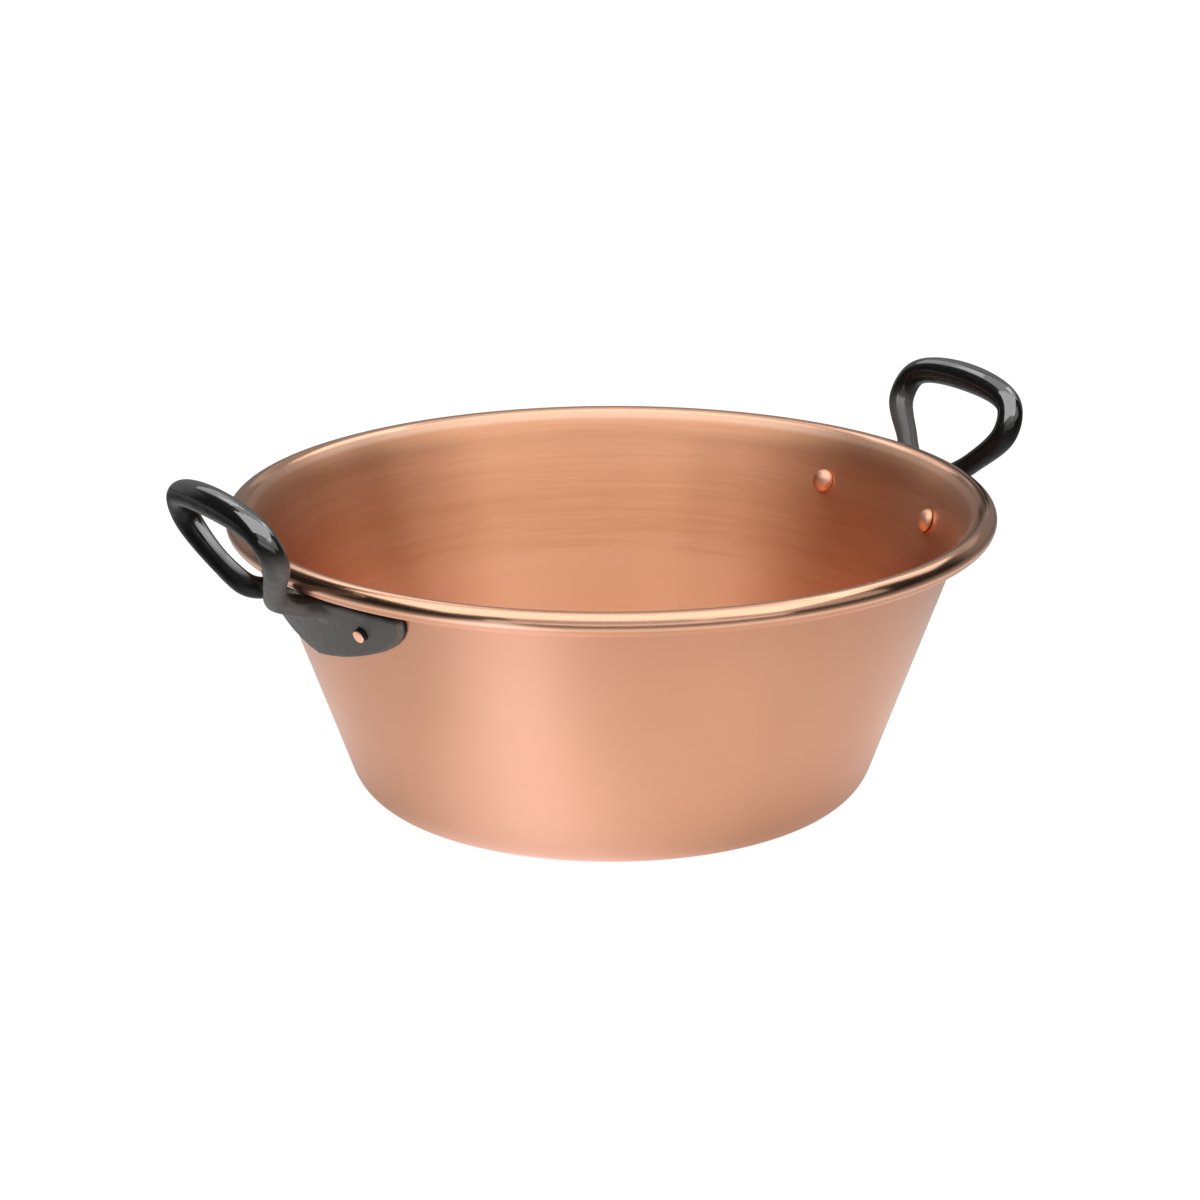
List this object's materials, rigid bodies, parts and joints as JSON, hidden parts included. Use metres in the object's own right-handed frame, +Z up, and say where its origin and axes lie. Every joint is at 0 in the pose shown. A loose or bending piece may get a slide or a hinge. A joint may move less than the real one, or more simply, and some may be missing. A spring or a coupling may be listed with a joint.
{
  "type": "preserving pan",
  "caption": "Wide flared copper preserving pan with a rolled rim and cast-iron loop handles riveted on at either side.",
  "frame": {"origin": "centre of the flat underside of the pan", "axes": "+Z up; +X from the middle of the pan through the right handle; +Y to the back, away from the near rivets"},
  "size_m": [0.4526, 0.38, 0.1878],
  "materials": {
    "copper_sheet": "satin, with fine rings from spinning inside",
    "rivet_copper": "bright, slightly worn",
    "black_iron": "glossy black on the loop, duller grey on the strap"
  },
  "bodies": {
    "root": {"pan_body": "copper_sheet", "handle_right": "black_iron", "handle_left": "black_iron", "rivet_right_near": "rivet_copper", "rivet_right_far": "rivet_copper", "rivet_left_near": "rivet_copper", "rivet_left_far": "rivet_copper"}
  },
  "joints": []
}
